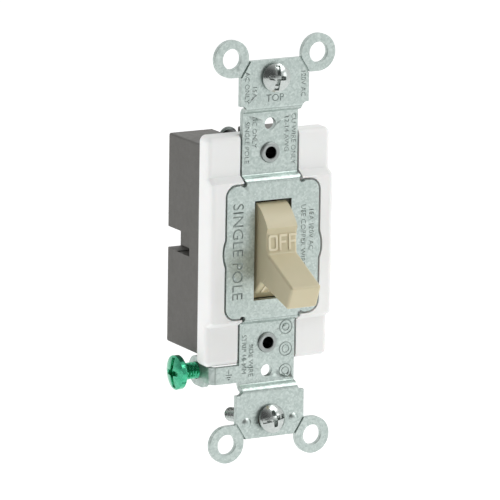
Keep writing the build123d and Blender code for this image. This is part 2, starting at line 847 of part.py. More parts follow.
def load_terminal():
    """The upper terminal, with the blade that carries the fixed contact."""
    half = contact_radius + blade_margin
    plate = terminal_plate(1, terminal_front)
    rear = load_blade_front + terminal_strip
    z = (contact_z - half, contact_z + half)
    blade = block((arm_left, terminal_outer), (load_blade_front, rear), z)
    neck = block((terminal_inner, terminal_outer), (load_blade_front, terminal_front + terminal_strip), z)
    return plate + blade + neck


def line_terminal():
    """The lower terminal, with the two lugs that hold the arm's pin."""
    rear = line_strip_rear()
    z = (arm_pivot_z - line_strip_half_height, arm_pivot_z + line_strip_half_height)
    left = arm_left - clevis_gap - clevis_wall
    strip = block((left, terminal_outer), (rear - terminal_strip, rear), z)
    terminal = terminal_plate(-1, terminal_front) + strip
    lugs = ((left, left + clevis_wall), (arm_right + clevis_gap, arm_right + clevis_gap + clevis_wall))
    for x in lugs:
        terminal += block(x, (arm_mid_y - lug_half_depth, rear), z)
    pin_hole = rod_x(arm_mid_y, arm_pivot_z, arm_pin_radius, (left - beyond, arm_right + 2 * beyond))
    return terminal - pin_hole


def arm_pivot_pin():
    """The pin through both lugs and the arm's knuckle."""
    reach = clevis_gap + clevis_wall
    return rod_x(arm_mid_y, arm_pivot_z, arm_pin_radius, (arm_left - reach, arm_right + reach))


def clamp_plate(end):
    """The square plate under a terminal screw's head, standing open for a wire."""
    z = end * terminal_z
    inner = terminal_outer + wire_gap
    y = (terminal_axis_y - clamp_half_size, terminal_axis_y + clamp_half_size)
    plate = block((inner, inner + clamp_thickness), y, (z - clamp_half_size, z + clamp_half_size))
    across = (inner - beyond, inner + clamp_thickness + beyond)
    return plate - rod_x(terminal_axis_y, z, terminal_screw_radius + running_gap, across)


def drive_recess(width, length, depth):
    """A cross recess that sinks along -Z from the origin."""
    cross = Rectangle(width, length) + Rectangle(length, width)
    return Pos(0, 0, -depth) * extrude(cross, amount=depth + beyond)


def machine_screw(shank_radius, length, head_radius, head_height, rim=head_rim):
    """A pan-head screw along Z, tip down, with the underside of its head at the origin."""
    dome = head_height - rim
    sphere_radius = (head_radius**2 + dome**2) / (2 * dome)
    head = Pos(0, 0, head_height / 2) * Cylinder(head_radius, head_height)
    head &= Pos(0, 0, head_height - sphere_radius) * Sphere(sphere_radius)
    head -= Pos(0, 0, head_height) * drive_recess(drive_width, drive_length, drive_depth)
    shank = Pos(0, 0, -length / 2) * Cylinder(shank_radius, length)
    shank = chamfer(shank.edges().sort_by(Axis.Z)[0], shank_radius * tip_chamfer)
    return head + shank


def terminal_screw(end):
    """A brass screw through the clamp plate into the terminal."""
    under_head = terminal_outer + wire_gap + clamp_thickness + running_gap
    length = under_head - terminal_inner + terminal_tip_beyond
    screw = machine_screw(terminal_screw_radius, length, terminal_head_radius, terminal_head_height)
    return Pos(under_head, terminal_axis_y, end * terminal_z) * Rot(0, 90, 0) * screw


def ground_screw():
    """The green screw, backed out of the ground tab to take a wire."""
    under_head = -flange_face - ground_wire_gap
    length = ground_wire_gap + strap_thickness + ground_tip_beyond
    screw = machine_screw(
        ground_shank_radius, length, ground_head_radius, ground_head_height, ground_head_rim
    )
    return Pos(under_head, ground_axis_y, ground_axis_z) * Rot(0, -90, 0) * screw


def arc_barrier():
    """A fibre sheet between the contacts and the toggle."""
    return block((barrier_left, barrier_left + barrier_thickness), (split_y + running_gap, floor_y),
                 (barrier_low, chamber_half_height))


# ---------------------------------------------------------------- fasteners

def strap_rivets():
    """Two hollow rivets that hold strap, cover and body together."""
    rivets = []
    for end in (1, -1):
        z = end * rivet_z
        tube = rod_y(0, z, rivet_radius, (neck_setback - skim, body_back + skim))
        front = rod_y(0, z, rivet_head_radius, (neck_setback - rivet_head_height, neck_setback))
        rear = rod_y(0, z, rivet_head_radius, (body_back, body_back + rivet_head_height))
        front = fillet(front.edges().sort_by(Axis.Y)[0], rivet_head_height * rivet_head_rounding)
        rear = fillet(rear.edges().sort_by(Axis.Y)[-1], rivet_head_height * rivet_head_rounding)
        rivet = tube + front + rear
        bore = rod_y(0, z, rivet_bore_radius, (0, body_back + rivet_head_height + beyond))
        rivets.append(rivet - bore)
    return rivets


def box_screw_place(end):
    """Place and direction of a box screw as it hangs in the strap: it droops, and the upper leans."""
    seat = Pos(0, strap_thickness / 2, end * box_screw_z)
    if end > 0:
        return seat * Rot(-upper_droop, 0, -upper_lean)
    return seat * Rot(-lower_droop, 0, 0)


def box_screw_tilt(end):
    """How far a box screw is out of square with the strap."""
    if end > 0:
        return degrees(asin(hypot(sin(radians(upper_lean)), sin(radians(upper_droop)))))
    return lower_droop


def head_lift(end):
    """Distance from the strap's middle plane to the underside of a head whose rim just clears it."""
    return strap_thickness / 2 + box_head_radius * sin(radians(box_screw_tilt(end))) + washer_clearance


def box_screw(end):
    """A mounting screw with the head in front of the strap."""
    screw = machine_screw(box_screw_radius, box_screw_length, box_head_radius, box_head_height)
    return box_screw_place(end) * Pos(0, -head_lift(end), 0) * Rot(90, 0, 0) * screw


def box_screw_washer(end):
    """The fibre washer that keeps a box screw from falling out."""
    tilt_room = washer_radius * sin(radians(box_screw_tilt(end)))
    front = strap_thickness / 2 + tilt_room + washer_clearance
    washer = rod_y(0, 0, washer_radius, (front, front + washer_thickness))
    through = (front - beyond, front + washer_thickness + beyond)
    washer -= rod_y(0, 0, box_screw_radius + washer_bore_gap, through)
    return box_screw_place(end) * washer


# ---------------------------------------------------------------- output

nodes = {
    "mounting_strap": mounting_strap(),
    "front_cover": front_cover(),
    "rear_housing": rear_housing(),
    "toggle": swung(level_toggle()),
    "detent_plunger": swung(level_plunger()),
    "toggle_spring": swung(level_toggle_spring()),
    "detent_track": detent_track(),
    "toggle_bumpers": toggle_bumpers(),
    "contact_arm": contact_arm(),
    "moving_contact": moving_contact(),
    "fixed_contact": fixed_contact(),
    "contact_spring": contact_spring(),
    "arm_pivot_pin": arm_pivot_pin(),
    "line_terminal": line_terminal(),
    "load_terminal": load_terminal(),
    "line_clamp_plate": clamp_plate(-1),
    "load_clamp_plate": clamp_plate(1),
    "line_terminal_screw": terminal_screw(-1),
    "load_terminal_screw": terminal_screw(1),
    "arc_barrier": arc_barrier(),
    "ground_screw": ground_screw(),
    "strap_rivets": strap_rivets(),
    "upper_box_screw": box_screw(1),
    "lower_box_screw": box_screw(-1),
    "upper_screw_washer": box_screw_washer(1),
    "lower_screw_washer": box_screw_washer(-1),
}

os.makedirs("parts", exist_ok=True)
for name, shape in nodes.items():
    solids = shape if isinstance(shape, list) else [shape]
    whole = Compound(children=[solid for item in solids for solid in item.solids()])
    export_step(whole if len(whole.solids()) > 1 else whole.solids()[0], f"parts/{name}.step")
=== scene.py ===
"""Looks of the toggle wall switch: finishes, stamped strap, threaded screws, light and camera."""
import json
from math import acos, cos, pi, radians, sin

import bmesh
import bpy
import numpy as np
from mathutils import Matrix, Vector


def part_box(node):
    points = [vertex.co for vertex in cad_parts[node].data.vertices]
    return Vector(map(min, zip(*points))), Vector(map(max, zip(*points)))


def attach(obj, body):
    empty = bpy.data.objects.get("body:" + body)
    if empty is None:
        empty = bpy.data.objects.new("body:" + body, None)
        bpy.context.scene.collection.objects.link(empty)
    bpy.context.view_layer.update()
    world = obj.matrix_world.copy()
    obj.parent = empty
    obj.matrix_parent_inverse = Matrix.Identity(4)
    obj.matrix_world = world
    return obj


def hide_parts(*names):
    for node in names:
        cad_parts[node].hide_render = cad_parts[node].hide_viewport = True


MM = 0.001

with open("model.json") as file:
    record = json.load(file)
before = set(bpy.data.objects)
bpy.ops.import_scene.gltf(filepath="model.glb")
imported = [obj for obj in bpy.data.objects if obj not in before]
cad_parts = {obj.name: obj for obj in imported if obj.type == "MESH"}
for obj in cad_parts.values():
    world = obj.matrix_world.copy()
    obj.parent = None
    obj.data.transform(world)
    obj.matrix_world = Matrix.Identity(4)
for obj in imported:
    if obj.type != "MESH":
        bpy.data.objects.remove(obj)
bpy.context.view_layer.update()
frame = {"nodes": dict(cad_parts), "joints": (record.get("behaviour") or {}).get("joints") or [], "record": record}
joints = {joint["name"]: joint for joint in frame["joints"]}

# Sizes shared with the design, in millimetres
STRAP_THICKNESS = 1.3
NECK_SETBACK = 2.1
BOX_HEAD_RADIUS = 3.4
BOX_HEAD_HEIGHT = 2.0
BOX_SCREW_RADIUS = 1.75
BOX_SCREW_LENGTH = 21.2
THREAD_PITCH = 0.79
WASHER_CLEARANCE = 0.15
SPLIT_Y = 6.3                     # the toggle's axis
LEVER_ANGLE = 21.5
FLAT_NORMAL = (0.9024, 0.4308)    # of the lettered flats, with the lever level: forward and out
FLAT_DISTANCE = 11.075            # of the flats from the toggle's axis
LETTER_ROWS = ((1, 0.6, 4.8), (-1, -10.5, -6.0))


# ---------------------------------------------------------------- materials

class Finish:
    """A material under construction: one principled shader and the nodes that vary it."""

    def __init__(self, name, roughness, metallic=0.0, **sockets):
        self.material = bpy.data.materials.new(name)
        self.material.use_nodes = True
        self.tree = self.material.node_tree
        self.shader = self.tree.nodes["Principled BSDF"]
        self.shader.inputs["Roughness"].default_value = roughness
        self.shader.inputs["Metallic"].default_value = metallic
        for socket, value in sockets.items():
            self.shader.inputs[socket.replace("_", " ")].default_value = value

    def node(self, kind, **inputs):
        """Adds a node and sets or links its inputs by name."""
        node = self.tree.nodes.new(kind)
        for socket, value in inputs.items():
            target = node.inputs[socket.replace("_", " ")]
            if isinstance(value, bpy.types.NodeSocket):
                self.tree.links.new(value, target)
            else:
                target.default_value = value
        return node

    def place(self, stretch=(1, 1, 1)):
        """Object coordinates in millimetres, stretched along the axes."""
        coordinates = self.node("ShaderNodeTexCoord").outputs["Object"]
        scale = tuple(factor / MM for factor in stretch)
        return self.node("ShaderNodeMapping", Vector=coordinates, Scale=scale).outputs["Vector"]

    def noise(self, grain, detail=3.0, roughness=0.5, stretch=(1, 1, 1)):
        """Cloudy noise whose patches are about one grain across, in millimetres."""
        node = self.node("ShaderNodeTexNoise", Vector=self.place(stretch), Scale=1 / grain,
                         Detail=detail, Roughness=roughness)
        return node.outputs["Fac"]

    def cells(self, grain):
        """A random value for each crystal of a cellular pattern."""
        node = self.node("ShaderNodeTexVoronoi", Vector=self.place(), Scale=1 / grain)
        return self.node("ShaderNodeSeparateColor", Color=node.outputs["Color"]).outputs["Red"]

    def along(self, direction):
        """Distance along a direction from the origin, in millimetres."""
        node = self.node("ShaderNodeVectorMath")
        node.operation = "DOT_PRODUCT"
        self.tree.links.new(self.place(), node.inputs[0])
        node.inputs[1].default_value = direction
        return node.outputs["Value"]

    def math(self, operation, first, second):
        """Arithmetic on two values."""
        node = self.node("ShaderNodeMath")
        node.operation = operation
        for socket, value in zip(node.inputs, (first, second)):
            if isinstance(value, bpy.types.NodeSocket):
                self.tree.links.new(value, socket)
            else:
                socket.default_value = value
        return node.outputs["Value"]

    def sum(self, first, second):
        """The first value plus the second."""
        return self.math("ADD", first, second)

    def difference(self, first, second):
        """The first value less the second."""
        return self.math("SUBTRACT", first, second)

    def product(self, first, second):
        """The two values multiplied."""
        return self.math("MULTIPLY", first, second)

    def spread_between(self, value, start, end):
        """Rises from 0 to 1 as the value goes from start to end."""
        node = self.node("ShaderNodeMapRange", Value=value, From_Min=start, From_Max=end)
        return node.outputs["Result"]

    def spread(self, value, low, high):
        """A value mapped from its middle range on to low..high."""
        node = self.node("ShaderNodeMapRange", Value=value, From_Min=0.3, From_Max=0.7,
                         To_Min=low, To_Max=high)
        return node.outputs["Result"]

    def blend(self, factor, first, second):
        """A colour between two others."""
        node = self.tree.nodes.new("ShaderNodeMix")
        node.data_type = "RGBA"
        self.tree.links.new(factor, node.inputs["Factor"])
        for socket, colour in (("A", first), ("B", second)):
            target = [entry for entry in node.inputs if entry.name == socket and entry.type == "RGBA"][0]
            if isinstance(colour, bpy.types.NodeSocket):
                self.tree.links.new(colour, target)
            else:
                target.default_value = (*colour, 1)
        return [entry for entry in node.outputs if entry.type == "RGBA"][0]

    def colour(self, output):
        """Links a colour to the surface."""
        self.tree.links.new(output, self.shader.inputs["Base Color"])

    def roughness(self, output):
        """Links a roughness to the surface."""
        self.tree.links.new(output, self.shader.inputs["Roughness"])

    def bump(self, height, depth, strength=1.0):
        """Raises the surface by a depth in millimetres where the height is one."""
        node = self.node("ShaderNodeBump", Height=height, Distance=depth * MM, Strength=strength)
        self.tree.links.new(node.outputs["Normal"], self.shader.inputs["Normal"])


def zinc_plated_steel():
    """Satin zinc plate on strip: small pale and dark crystals, and painted shade in the stamped grooves."""
    finish = Finish("zinc_plated_steel", 0.42, metallic=0.85)
    crystals = finish.cells(0.45)
    cloud = finish.noise(1.2, detail=6.0, roughness=0.75)
    base = finish.blend(crystals, (0.43, 0.50, 0.475), (0.62, 0.69, 0.66))
    base = finish.blend(finish.spread(cloud, 0.0, 0.6), base, (0.36, 0.43, 0.405))
    # Painted shade: the stamped grooves, 0.07 to 0.2 mm behind the front plates and the necks, are darkened as if
    # in shadow; the same bands cross the bends as thin dark lines.
    sunk = finish.spread_between(finish.along((0, 1, 0)), 0.07, 0.11)
    neck = finish.spread_between(finish.along((0, 1, 0)), NECK_SETBACK + 0.07, NECK_SETBACK + 0.11)
    rear = finish.spread_between(finish.along((0, 1, 0)), 0.16, 0.2)
    neck_rear = finish.spread_between(finish.along((0, 1, 0)), NECK_SETBACK + 0.16, NECK_SETBACK + 0.2)
    marks = finish.sum(finish.difference(sunk, rear), finish.difference(neck, neck_rear))
    finish.colour(finish.blend(finish.product(marks, 0.7), base, (0.22, 0.26, 0.245)))
    finish.roughness(finish.spread(finish.noise(0.7), 0.30, 0.46))
    finish.bump(finish.noise(0.3, detail=4.0), 0.014)
    return finish.material


def rivet_steel():
    """Dull plated rivets, with painted shade down the bore."""
    finish = Finish("rivet_steel", 0.4, metallic=0.9)
    plate = finish.blend(finish.noise(0.6, detail=4.0), (0.27, 0.30, 0.29), (0.42, 0.45, 0.44))
    depth = finish.along((0, 1, 0))
    # Painted shade: from the necks' plane back to 22.5 mm deep the rivets are coloured nearly black, standing in
    # for the shade down the bore.
    bore_painted_shade = finish.difference(finish.spread_between(depth, NECK_SETBACK - 0.25, NECK_SETBACK),
                               finish.spread_between(depth, 22.4, 22.6))
    finish.colour(finish.blend(bore_painted_shade, plate, (0.008, 0.008, 0.008)))
    finish.roughness(finish.spread(finish.noise(0.5), 0.32, 0.5))
    return finish.material


def bright_zinc():
    """Bright plated screws and rivets, with a faint turned grain."""
    finish = Finish("bright_zinc", 0.2, metallic=1.0)
    finish.colour(finish.blend(finish.noise(0.7, detail=4.0), (0.36, 0.40, 0.385), (0.60, 0.63, 0.61)))
    finish.roughness(finish.spread(finish.noise(0.5), 0.14, 0.26))
    finish.bump(finish.noise(0.25), 0.006)
    return finish.material


def green_plate():
    """Green-dyed plating on the ground screw, paler where it has worn."""
    finish = Finish("green_plate", 0.24, metallic=0.9, Coat_Weight=0.35, Coat_Roughness=0.12)
    worn = finish.spread(finish.noise(0.9, detail=5.0, roughness=0.7), 0.0, 0.7)
    finish.colour(finish.blend(worn, (0.01, 0.33, 0.16), (0.12, 0.62, 0.38)))
    finish.roughness(finish.spread(finish.noise(0.6), 0.12, 0.26))
    finish.bump(finish.noise(0.3), 0.008)
    return finish.material


def white_moulding():
    """Smooth satin white plastic with a very fine moulded grain."""
    finish = Finish("white_moulding", 0.38, Subsurface_Weight=0.05, Subsurface_Scale=0.002, IOR=1.48)
    finish.colour(finish.blend(finish.noise(9.0), (0.76, 0.765, 0.755), (0.805, 0.81, 0.80)))
    finish.roughness(finish.spread(finish.noise(2.5), 0.34, 0.44))
    finish.bump(finish.noise(0.2, detail=2.0), 0.004)
    return finish.material


def dark_moulding():
    """Matte grey-brown thermoset with fine pale flecks and a pebbled skin."""
    finish = Finish("dark_moulding", 0.5, IOR=1.5)
    flecks = finish.spread(finish.noise(0.22, detail=2.0), 0.0, 0.35)
    ground = finish.blend(finish.noise(6.0), (0.112, 0.109, 0.099), (0.138, 0.134, 0.122))
    finish.colour(finish.blend(flecks, ground, (0.19, 0.185, 0.17)))
    finish.roughness(finish.spread(finish.noise(1.2), 0.48, 0.62))
    finish.bump(finish.noise(0.4, detail=4.0), 0.02)
    return finish.material


def ivory_moulding():
    """Satin ivory plastic of the toggle, with painted highlight on the raised letters."""
    finish = Finish("ivory_moulding", 0.36, Subsurface_Weight=0.05, Subsurface_Scale=0.001, IOR=1.48)
    plain = finish.blend(finish.noise(5.0), (0.57, 0.515, 0.335), (0.63, 0.565, 0.385))
    level = finish.along((0, 0, 1))
    # Painted highlight: the tops of the raised letters on both lettered flats are coloured paler than the face.
    for side, low, high in LETTER_ROWS:
        lean = radians(LEVER_ANGLE)
        across = Vector((0, -FLAT_NORMAL[0], side * FLAT_NORMAL[1]))
        normal = Matrix.Rotation(lean, 3, "X") @ across
        height = finish.along(normal)
        offset = FLAT_DISTANCE + normal.y * SPLIT_Y
        raised = finish.difference(finish.spread_between(height, offset + 0.14, offset + 0.22),
                                   finish.spread_between(height, offset + 0.3, offset + 0.34))
        rows = finish.difference(finish.spread_between(level, low, low + 0.1),
                                 finish.spread_between(level, high, high + 0.1))
        plain = finish.blend(finish.product(raised, rows), plain, (0.74, 0.68, 0.50))
    finish.colour(plain)
    finish.roughness(finish.spread(finish.noise(1.5), 0.32, 0.44))
    finish.bump(finish.noise(0.3, detail=2.0), 0.006)
    return finish.material


def yellow_brass():
    """Rolled brass with long faint scratches."""
    finish = Finish("yellow_brass", 0.28, metallic=1.0)
    grain = finish.noise(0.3, detail=3.0, stretch=(1, 0.1, 1))
    finish.colour(finish.blend(grain, (0.66, 0.44, 0.15), (0.80, 0.58, 0.25)))
    finish.roughness(finish.spread(finish.noise(0.8), 0.22, 0.36))
    finish.bump(grain, 0.006)
    return finish.material


def contact_silver():
    """Silver alloy contacts, a little tarnished."""
    finish = Finish("contact_silver", 0.3, metallic=1.0)
    finish.colour(finish.blend(finish.noise(0.8, detail=4.0), (0.62, 0.60, 0.56), (0.85, 0.84, 0.80)))
    finish.bump(finish.noise(0.3), 0.01)
    return finish.material


def spring_steel():
    """Drawn wire and strip, bright with fine grain."""
    finish = Finish("spring_steel", 0.3, metallic=1.0)
    finish.colour(finish.blend(finish.noise(0.4), (0.48, 0.48, 0.48), (0.66, 0.66, 0.65)))
    finish.roughness(finish.spread(finish.noise(0.6), 0.24, 0.38))
    return finish.material


def red_fibre():
    """Vulcanised fibre sheet, matte, with a fibrous mottling."""
    finish = Finish("red_fibre", 0.75)
    threads = finish.noise(0.35, detail=6.0, roughness=0.7, stretch=(1, 1, 0.35))
    finish.colour(finish.blend(threads, (0.13, 0.035, 0.02), (0.24, 0.08, 0.045)))
    finish.bump(threads, 0.03)
    return finish.material


def black_rubber():
    """Soft black rubber."""
    finish = Finish("black_rubber", 0.7)
    finish.colour(finish.blend(finish.noise(0.6), (0.012, 0.012, 0.012), (0.03, 0.03, 0.03)))
    finish.bump(finish.noise(0.3), 0.02)
    return finish.material


FINISHES = {
    "galvanised_steel": zinc_plated_steel(),
    "white_plastic": white_moulding(),
    "dark_plastic": dark_moulding(),
    "ivory_plastic": ivory_moulding(),
    "bright_zinc": bright_zinc(),
    "green_screw": green_plate(),
    "brass": yellow_brass(),
    "contact_silver": contact_silver(),
    "spring_steel": spring_steel(),
    "red_fibre": red_fibre(),
    "black_rubber": black_rubber(),
}
SLOT_OF = {part["node"]: part["material_slot"] for part in frame["record"]["subparts"]}
RIVET_FINISH = rivet_steel()


def dress_nodes():
    """Gives every carried-over CAD node the finish of its slot."""
    for node, piece in frame["nodes"].items():
        for slot in piece.material_slots:
            slot.material = FINISHES[SLOT_OF[node]]


# ---------------------------------------------------------------- mesh helpers

def smooth(mesh, angle=30):
    """Smooth shading, kept sharp where faces meet at more than the angle."""
    mesh.shade_smooth()
    mesh.set_sharp_from_angle(angle=radians(angle))


def placed(name, data):
    """A new object in the scene that shows a mesh, curve, light or camera."""
    thing = bpy.data.objects.new(name, data)
    bpy.context.collection.objects.link(thing)
    return thing


def add_piece(name, mesh, body, slot, *replaced):
    """Puts a finished mesh in the scene as a piece that rides a body."""
    piece = placed(name, mesh)
    mesh.materials.clear()
    mesh.materials.append(FINISHES[slot])
    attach(piece, body)
    if replaced:
        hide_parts(*replaced)
    return piece


def grid_mesh(name, x, y, z):
    """A closed surface from arrays of rows and columns: columns wrap round, and the first
    and last rows each close on their middle point."""
    rows, columns = x.shape
    points = np.stack([x, y, z], axis=-1)
    poles = np.stack([points[0].mean(axis=0), points[-1].mean(axis=0)])
    vertices = np.concatenate([points.reshape(-1, 3), poles])
    index = np.arange(rows * columns).reshape(rows, columns)
    following = np.roll(index, -1, axis=1)
    quads = np.stack([index[:-1], index[1:], following[1:], following[:-1]], axis=-1).reshape(-1, 4)
    first, last = rows * columns, rows * columns + 1
    start = np.stack([np.full(columns, first), index[0], following[0]], axis=-1)
    end = np.stack([np.full(columns, last), following[-1], index[-1]], axis=-1)
    mesh = bpy.data.meshes.new(name)
    faces = quads.tolist() + start.tolist() + end.tolist()
    mesh.from_pydata(vertices.tolist(), [], faces)
    mesh.validate()
    tidy = bmesh.new()
    tidy.from_mesh(mesh)
    bmesh.ops.recalc_face_normals(tidy, faces=tidy.faces)
    tidy.to_mesh(mesh)
    tidy.free()
    return mesh


def applied(piece):
    """The mesh of a piece with its modifiers applied."""
    graph = bpy.context.evaluated_depsgraph_get()
    graph.update()
    return bpy.data.meshes.new_from_object(piece.evaluated_get(graph))


def merged_copy(node):
    """A node's mesh with its loose triangles joined."""
    mesh = frame["nodes"][node].data.copy()
    joined = bmesh.new()
    joined.from_mesh(mesh)
    bmesh.ops.remove_doubles(joined, verts=joined.verts, dist=0.0005 * MM)
    bmesh.ops.dissolve_degenerate(joined, edges=joined.edges, dist=0.0005 * MM)
    joined.to_mesh(mesh)
    joined.free()
    return mesh


def modified(mesh, *modifiers):
    """A mesh after some modifiers, each given as a type and its settings."""
    piece = placed("work", mesh)
    for kind, settings in modifiers:
        modifier = piece.modifiers.new(kind.lower(), kind)
        for setting, value in settings.items():
            setattr(modifier, setting, value)
    result = applied(piece)
    bpy.data.objects.remove(piece)
    return result


def ease(width, angle=35):
    """A small rounding on sharp edges."""
    return "BEVEL", {"width": width * MM, "segments": 2, "limit_method": "ANGLE",
                     "angle_limit": radians(angle), "use_clamp_overlap": True}


def shaded(mesh, angle=40):
    """A copy whose flat faces shade flat, with the small roundings blending into them."""
    smooth(mesh, angle)
    even = "WEIGHTED_NORMAL", {"mode": "FACE_AREA", "keep_sharp": True, "weight": 50}
    return modified(mesh, even)


# ---------------------------------------------------------------- screws

def ramp(value, width):
    """Rises smoothly from 0 to 1 as the value goes from 0 to the width."""
    t = np.clip(value / width, 0, 1)
    return t * t * (3 - 2 * t)


def drive(x, y, arm_width, arm_reach, arm_depth, slot_width, slot_reach, slot_depth, turn):
    """Depth of a combination drive: a tapering cross with a straight slot through it, both
    turned about the axis by an angle."""
    edge = 0.12
    x, y = x * cos(turn) + y * sin(turn), y * cos(turn) - x * sin(turn)

    def arm(lengthwise, across):
        narrow = arm_width / 2 * (1 - 0.45 * np.clip(np.abs(lengthwise) / arm_reach, 0, 1))
        end = ramp(arm_reach - np.abs(lengthwise), 0.5)
        return arm_depth * ramp(narrow - np.abs(across) + edge, edge) * end

    cross = np.maximum(arm(x, y), arm(y, x))
    slot = slot_depth * ramp(slot_width / 2 - np.abs(y) + edge, edge) * ramp(slot_reach - np.abs(x), edge)
    return np.maximum(cross, slot)


def screw_mesh(name, shank, pitch, length, head, height, turn, place, rim=0.6):
    """One closed surface of revolution with a thread cut in it.

    Head: a spherical dome, height minus r squared over twice its sphere's radius, less the drive's
    depth. Rim and underside: straight. Shank: radius falls from the crest by the thread's depth
    times a triangle wave of (distance along the axis over the pitch, plus the angle over a turn),
    cut off at zero so that the crests are flat, and runs out to a cone at the tip. Drawn along Z
    with the head's underside at zero.
    """
    columns = 240
    plain = 0.6                   # of the shank under the head; the groove deepens over the next as much
    groove_depth = 0.58 * pitch
    tip_length, tip_narrowing = 0.5, 0.25
    angle = np.linspace(0, 2 * pi, columns, endpoint=False)
    dome = height - rim
    sphere = (head**2 + dome**2) / (2 * dome)
    top_r = np.concatenate([np.linspace(0.02, 0.9, 84), np.linspace(0.91, 1.0, 8)]) * head
    top_z = height - sphere + np.sqrt(sphere**2 - top_r**2)
    soft = 0.12
    curve = np.linspace(0, pi / 2, 5)[1:]
    rim_r = np.concatenate([np.full_like(curve, head), head - soft + soft * np.cos(curve)])
    rim_z = np.concatenate([rim - (rim - soft) * curve / curve[-1], soft - soft * np.sin(curve)])
    under_r = np.linspace(head - soft, shank, 6)[1:]
    under_z = np.zeros_like(under_r)
    steps = int(length / pitch * 6)
    down = np.linspace(0.05, length, steps)
    radius = np.concatenate([top_r, rim_r, under_r, np.full(steps, shank)])
    level = np.concatenate([top_z, rim_z, under_z, -down])
    r = np.repeat(radius[:, None], columns, axis=1)
    z = np.repeat(level[:, None], columns, axis=1)
    a = np.repeat(angle[None, :], len(radius), axis=0)
    phase = np.mod(-z / pitch + a / (2 * pi), 1.0)
    groove = np.clip(1 - np.abs(phase - 0.5) * 2.6, 0, 1)
    on_shank = (z < -plain) & (r <= shank + 1e-9)
    fade = ramp(-z - plain, plain)
    taper = np.clip((-z - (length - tip_length)) / tip_length, 0, 1)
    r = np.where(on_shank, shank - groove_depth * groove * fade, r)
    r = np.where(on_shank, r * (1 - tip_narrowing * taper), r)
    on_top = np.arange(len(radius)) < len(top_r)
    x, y = r * np.cos(a), r * np.sin(a)
    sunk = drive(x, y, 0.32 * head, 0.62 * head, 0.5 * height + 0.25,
                 0.27 * head, 0.88 * head, 0.28 * height, turn)
    z = np.where(on_top[:, None], z - sunk, z)
    local = np.stack([x, y, z, np.ones_like(x)], axis=-1) * np.array([MM, MM, MM, 1])
    world = local @ np.array(place).T
    mesh = grid_mesh(name, world[..., 0], world[..., 1], world[..., 2])
    smooth(mesh, 38)
    return mesh


def along(axis, origin):
    """A placement for a screw drawn along Z, that points its tip along the axis."""
    back = -Vector(axis).normalized()
    side = back.cross(Vector((0, 0, 1))).normalized()
    if side.length < 0.5:
        side = Vector((1, 0, 0))
    up = back.cross(side)
    rotation = Matrix((side, up, back)).transposed().to_4x4()
    return Matrix.Translation(origin) @ rotation


def box_screws():
    """The two mounting screws, hanging in the strap as their joints say."""
    for end, turn in (("upper", 1.5), ("lower", 0.15)):
        joint = joints[end + "_screw_turn"]
        axis = Vector(joint["axis"]).normalized()
        tilt = acos(axis.y)
        lift = STRAP_THICKNESS / 2 + BOX_HEAD_RADIUS * sin(tilt) + WASHER_CLEARANCE
        place = along(axis, Vector(joint["pos_m"]) - axis * lift * MM)
        mesh = screw_mesh(end + "_box_screw_threaded", BOX_SCREW_RADIUS, THREAD_PITCH, BOX_SCREW_LENGTH,
                          BOX_HEAD_RADIUS, BOX_HEAD_HEIGHT, turn, place)
        add_piece(mesh.name, mesh, end + "_screw", "bright_zinc", end + "_box_screw")


def side_screw(name, node, body, slot, shank, head, height, direction, turn, rim=0.6):
    """A screw along X whose node gives its length and place."""
    low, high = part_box(node)
    low, high = np.array(low) / MM, np.array(high) / MM
    length = high[0] - low[0] - height
    under = high[0] - height if direction < 0 else low[0] + height
    middle = (low + high) / 2
    place = along((direction, 0, 0), Vector((under, middle[1], middle[2])) * MM)
    mesh = screw_mesh(name, shank, THREAD_PITCH, length, head, height, turn, place, rim)
    add_piece(name, mesh, body, slot, node)


def all_screws():
    """Every screw of the switch, with real threads and drives."""
    box_screws()
    side_screw("ground_screw_threaded", "ground_screw", "ground_screw", "green_screw",
               2.05, 4.15, 2.2, 1, 1.62, rim=1.3)
    for end, turn in (("line", 0.9), ("load", 2.4)):
        node = end + "_terminal_screw"
        side_screw(node + "_threaded", node, end + "_screw", "brass", 2.0, 3.6, 2.0, -1, turn)


# ---------------------------------------------------------------- stamped strap

def lettering(text, height, x, z, turned=0.0, depth_y=0.0, sink=0.14):
    """Text as a thin solid, facing the room, centred at (x, z) and turned in its plane."""
    curve = bpy.data.curves.new("stamp", "FONT")
    curve.body = text
    curve.size = height * 1.4 * MM
    curve.align_x = "CENTER"
    curve.align_y = "CENTER"
    curve.extrude = sink * MM
    curve.resolution_u = 3
    holder = placed("stamp", curve)
    mesh = applied(holder)
    bpy.data.objects.remove(holder)
    place = Matrix.Translation(Vector((x, depth_y, z)) * MM)
    mesh.transform(place @ Matrix.Rotation(radians(turned), 4, "Y") @ Matrix.Rotation(pi / 2, 4, "X"))
    return mesh


def ring_stamp(x, z, radius, width, depth_y, sink=0.14):
    """A ring of rectangular section: two radii, two depths, swept round."""
    angle = np.linspace(0, 2 * pi, 48, endpoint=False)
    corners = ((radius, -sink), (radius, sink), (radius - width, sink), (radius - width, -sink))
    points = [
        ((x + r * cos(a)) * MM, (depth_y + y) * MM, (z + r * sin(a)) * MM)
        for a in angle for r, y in corners
    ]
    count = len(angle)
    faces = [
        (4 * i + k, 4 * i + (k + 1) % 4, 4 * ((i + 1) % count) + (k + 1) % 4, 4 * ((i + 1) % count) + k)
        for i in range(count) for k in range(4)
    ]
    mesh = bpy.data.meshes.new("ring")
    mesh.from_pydata(points, [], faces)
    return mesh


def bar_stamp(x, z, width, height, depth_y, sink=0.14):
    """A straight stroke."""
    mesh = bpy.data.meshes.new("bar")
    box = bmesh.new()
    bmesh.ops.create_cube(box, size=1)
    box.to_mesh(mesh)
    box.free()
    size = Matrix.Diagonal((width * MM, 2 * sink * MM, height * MM, 1))
    mesh.transform(Matrix.Translation(Vector((x, depth_y, z)) * MM) @ size)
    return mesh


